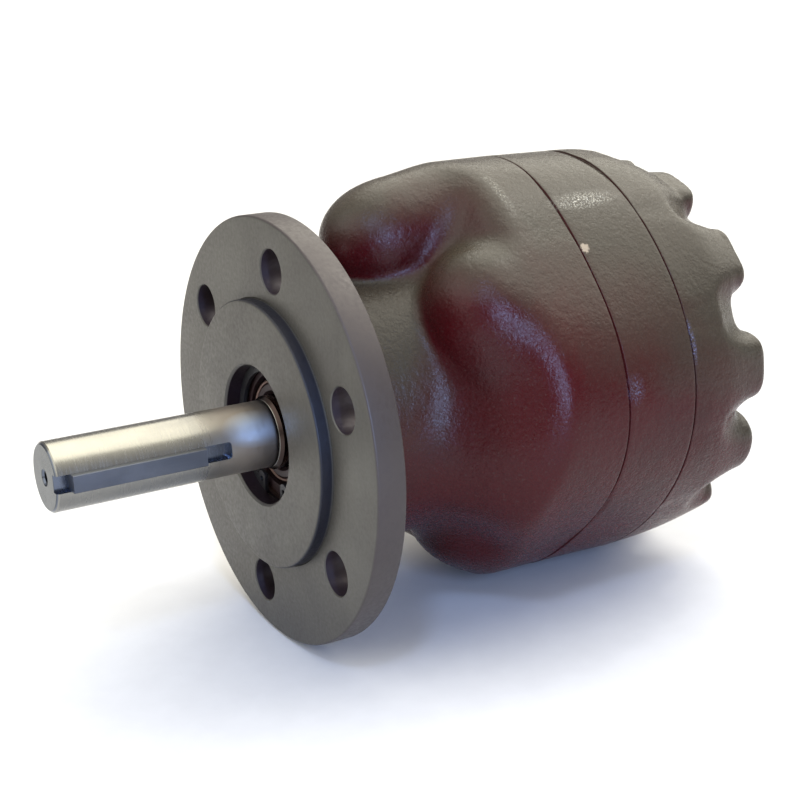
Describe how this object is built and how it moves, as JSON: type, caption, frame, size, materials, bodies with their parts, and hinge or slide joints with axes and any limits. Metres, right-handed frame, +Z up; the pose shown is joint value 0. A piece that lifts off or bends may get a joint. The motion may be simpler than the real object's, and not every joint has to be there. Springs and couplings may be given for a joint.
{
  "type": "hydraulic motor",
  "caption": "Flange-mounted hydraulic motor with a keyed output shaft, a piloted round flange, a nosed cast body and a crown of screw bosses on its rear cover.",
  "frame": {"origin": "centre of the pilot's mounting plane: where the shaft axis meets the flange's front face", "axes": "+Y along the shaft axis from the shaft end into the body, +Z up, from the shaft axis towards the rotor chamber's axis"},
  "size_m": [0.2112, 0.3285, 0.2187],
  "materials": {
    "housing_paint": "gloss enamel on sand-cast iron",
    "black_steel": "black oxide",
    "ground_steel": "ground",
    "key_steel": "drawn, matte",
    "bearing_steel": "polished",
    "rotor_steel": "lapped",
    "bronze": "machined",
    "seal_rubber": "moulded",
    "seal_steel": "zinc, yellowed"
  },
  "bodies": {
    "root": {"front_housing": "housing_paint", "rotor_ring": "housing_paint", "rear_cover": "housing_paint", "cover_screws": "black_steel", "dowel_pins": "ground_steel", "front_ring_seal": "seal_rubber", "rear_ring_seal": "seal_rubber", "front_wear_plate": "rotor_steel", "rear_wear_plate": "rotor_steel", "rotor_sleeve": "bronze", "drain_plug": "black_steel", "seal_case": "seal_steel", "seal_lip": "seal_rubber", "seal_garter_spring": "seal_steel", "seal_snap_ring": "black_steel", "front_bearing_outer_race": "bearing_steel", "bearing_spacer": "rotor_steel", "rear_bearing_outer_race": "bearing_steel"},
    "shaft": {"output_shaft": "ground_steel", "output_key": "key_steel", "rotor_key": "key_steel", "shaft_spacer": "rotor_steel", "inner_rotor": "rotor_steel", "front_bearing_inner_race": "bearing_steel", "rear_bearing_inner_race": "bearing_steel"},
    "outer_rotor": {"outer_rotor": "rotor_steel"},
    "front_rollers": {"front_bearing_cage": "bronze", "front_bearing_rollers": "bearing_steel"},
    "rear_balls": {"rear_bearing_cage": "bronze", "rear_bearing_balls": "bearing_steel"}
  },
  "joints": [
    {"name": "shaft_spin", "type": "hinge", "parent": "root", "child": "shaft", "pos_m": [0, 0, 0], "axis": [0, 1, 0], "continuous": true},
    {"name": "outer_rotor_spin", "type": "hinge", "parent": "root", "child": "outer_rotor", "pos_m": [0, 0.15, 0.0115], "axis": [0, 1, 0], "continuous": true},
    {"name": "front_rollers_spin", "type": "hinge", "parent": "root", "child": "front_rollers", "pos_m": [0, 0.0275, 0], "axis": [0, 1, 0], "continuous": true},
    {"name": "rear_balls_spin", "type": "hinge", "parent": "root", "child": "rear_balls", "pos_m": [0, 0.189, 0], "axis": [0, 1, 0], "continuous": true}
  ],
  "couplings": [
    {"joint": "outer_rotor_spin", "follows": "shaft_spin", "ratio": 0.8},
    {"joint": "front_rollers_spin", "follows": "shaft_spin", "ratio": 0.4231},
    {"joint": "rear_balls_spin", "follows": "shaft_spin", "ratio": 0.3967}
  ]
}
